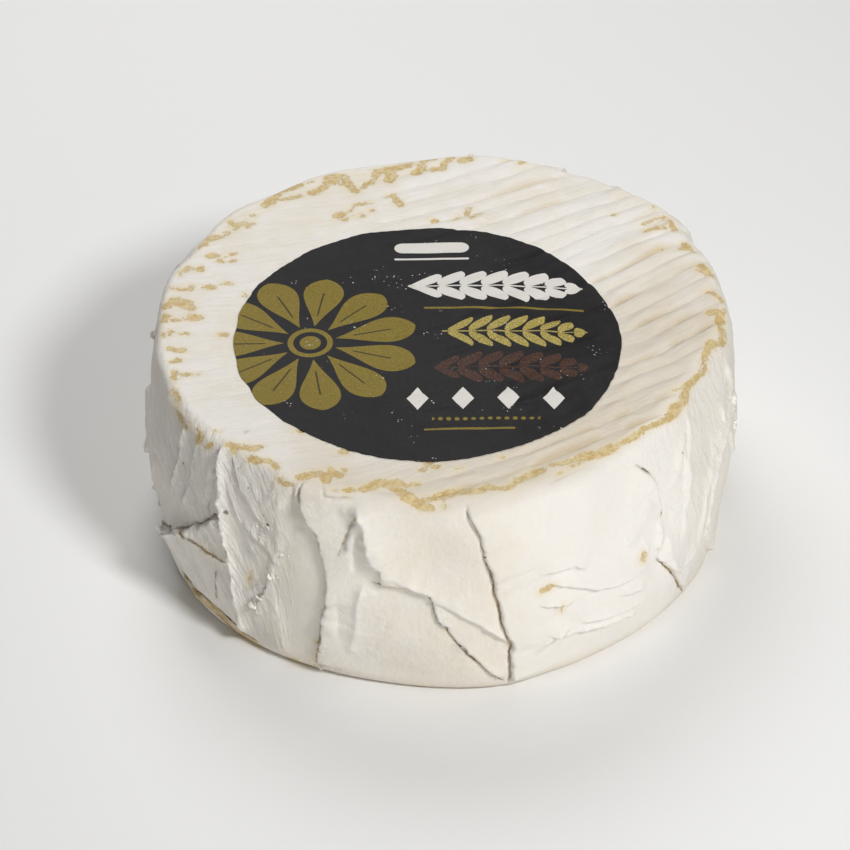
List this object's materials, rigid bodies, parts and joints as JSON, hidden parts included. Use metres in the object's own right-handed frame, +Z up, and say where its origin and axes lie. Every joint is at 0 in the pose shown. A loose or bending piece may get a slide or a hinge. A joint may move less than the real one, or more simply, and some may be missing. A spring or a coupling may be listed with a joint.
{
  "type": "triple-cream cheese",
  "caption": "Whole round soft-ripened cheese with a folded bloomy rind, mat ridges on its top and a round paper label.",
  "frame": {"origin": "under the middle of the cheese, on the surface that it stands on", "axes": "+Z up through the label, -Y towards the side shown at the front, +X to its right"},
  "size_m": [0.1506, 0.1546, 0.0596],
  "materials": {
    "bloomy_rind": "matt, chalky white mould with ochre patches along the rim",
    "printed_paper": "satin black paper printed in dull gold and cream"
  },
  "bodies": {
    "root": {"cheese_wheel": "bloomy_rind", "paper_label": "printed_paper"}
  },
  "joints": []
}
